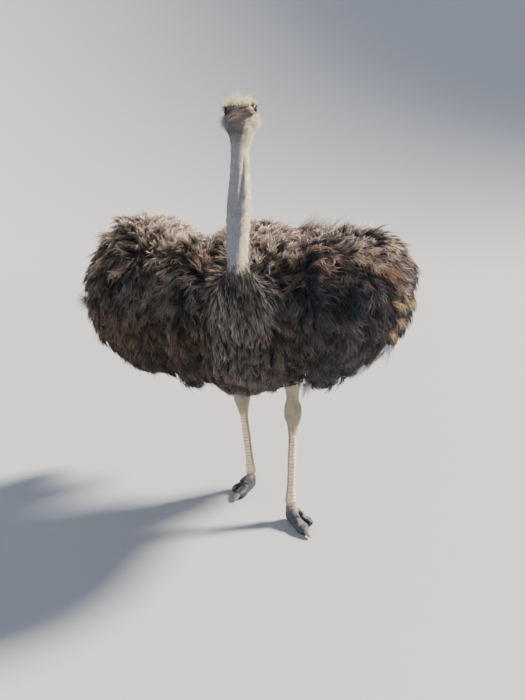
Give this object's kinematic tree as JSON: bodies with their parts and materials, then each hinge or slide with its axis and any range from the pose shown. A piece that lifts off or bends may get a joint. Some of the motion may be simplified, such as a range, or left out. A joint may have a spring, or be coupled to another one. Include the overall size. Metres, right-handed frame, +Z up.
{
  "type": "ostrich, standing, life-size model",
  "caption": "Life-size still model of a brown ostrich hen that stands with its head up and its fluffed wings held a little out.",
  "frame": {"origin": "middle of the bounding box, on the floor under the soles", "axes": "+Z up, the bird's body faces -Y, +X is the bird's own left"},
  "size_m": [1.531, 1.2856, 1.8451],
  "materials": {
    "brown_plumage": "loose dark brown body feathers with tan tips",
    "pale_plumes": "soft pale grey-brown wing and tail plumes",
    "grey_down": "short pale grey down over skin",
    "crest_hair": "sparse cream bristles on the crown",
    "horn": "satin grey-brown horn",
    "eye": "wet dark brown",
    "bare_skin": "scaly bare skin, pinkish at the front of the shank",
    "foot_skin": "dry grey-brown scaly skin"
  },
  "bodies": {
    "root": {"trunk": "brown_plumage", "neck_base": "grey_down", "neck_lower": "grey_down", "neck_middle": "grey_down", "neck_upper": "grey_down", "head": "grey_down", "crest": "crest_hair", "bill_upper": "horn", "bill_lower": "horn", "eye_left": "eye", "eye_right": "eye", "tail": "pale_plumes", "shoulder_left": "brown_plumage", "wing_left": "brown_plumage", "plumes_left": "pale_plumes", "thigh_left": "bare_skin", "shank_left": "bare_skin", "big_toe_left": "foot_skin", "small_toe_left": "foot_skin", "claw_left": "horn", "shoulder_right": "brown_plumage", "wing_right": "brown_plumage", "plumes_right": "pale_plumes", "thigh_right": "bare_skin", "shank_right": "bare_skin", "big_toe_right": "foot_skin", "small_toe_right": "foot_skin", "claw_right": "horn"}
  },
  "joints": []
}
